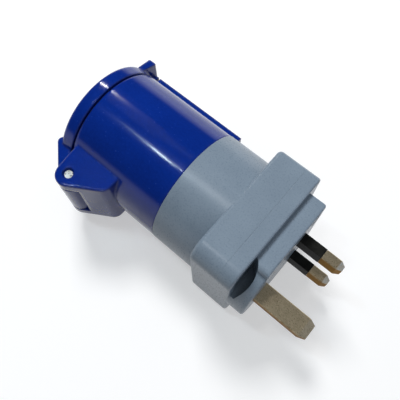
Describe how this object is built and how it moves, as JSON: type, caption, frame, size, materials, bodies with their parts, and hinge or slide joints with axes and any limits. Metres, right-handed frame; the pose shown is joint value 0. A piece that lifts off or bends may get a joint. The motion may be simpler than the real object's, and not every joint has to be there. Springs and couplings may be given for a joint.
{
  "type": "pin and sleeve adapter",
  "caption": "Compact mains adapter: a fused plug with rectangular pins on a grey moulded body, and a blue pin-and-sleeve socket with a sprung hinged lid on the other end.",
  "frame": {"origin": "on the socket axis, in the plug face that meets the wall socket", "axes": "+X out of the plug face along the pins, +Y from the lid hinge to the lid tab, which is also from the earth pin to the other two, +Z along the row of those two pins and up as the part lies on its side"},
  "size_m": [0.1207, 0.0654, 0.0506],
  "materials": {
    "blue_plastic": "glossy",
    "grey_plastic": "satin",
    "pin_metal": "nickel plated, satin",
    "pin_sleeve": "satin",
    "contact_brass": "satin",
    "steel": "bright",
    "seal_rubber": "matte",
    "fuse_ceramic": "matte"
  },
  "bodies": {
    "adapter": {"socket_shell": "blue_plastic", "contact_carrier": "blue_plastic", "earth_contact": "contact_brass", "line_contact": "contact_brass", "neutral_contact": "contact_brass", "terminal_screws": "steel", "plug_housing": "grey_plastic", "pin_plate": "grey_plastic", "earth_pin": "pin_metal", "line_pin": "pin_metal", "neutral_pin": "pin_metal", "line_pin_sleeve": "pin_sleeve", "neutral_pin_sleeve": "pin_sleeve", "fuse_clip_line": "contact_brass", "fuse_clip_load": "contact_brass", "earth_strap": "contact_brass", "neutral_strap": "contact_brass", "line_strap": "contact_brass", "face_screws": "steel", "hinge_pin": "steel", "lid_spring": "steel"},
    "lid": {"lid": "blue_plastic", "lid_seal": "seal_rubber"},
    "fuse_drawer": {"fuse_carrier": "grey_plastic", "fuse_tube": "fuse_ceramic", "fuse_caps": "pin_metal"}
  },
  "joints": [
    {"name": "lid_hinge", "type": "hinge", "parent": "adapter", "child": "lid", "pos_m": [-0.08155, -0.03105, 0], "axis": [0, 0, 1], "range_deg": [0, 120], "stiffness_Nm_per_rad": 0.06, "springref_deg": -28.65, "deforming": ["lid_spring"]},
    {"name": "fuse_slide", "type": "slide", "parent": "adapter", "child": "fuse_drawer", "axis": [1, 0, 0], "range_m": [0, 0.012]}
  ]
}
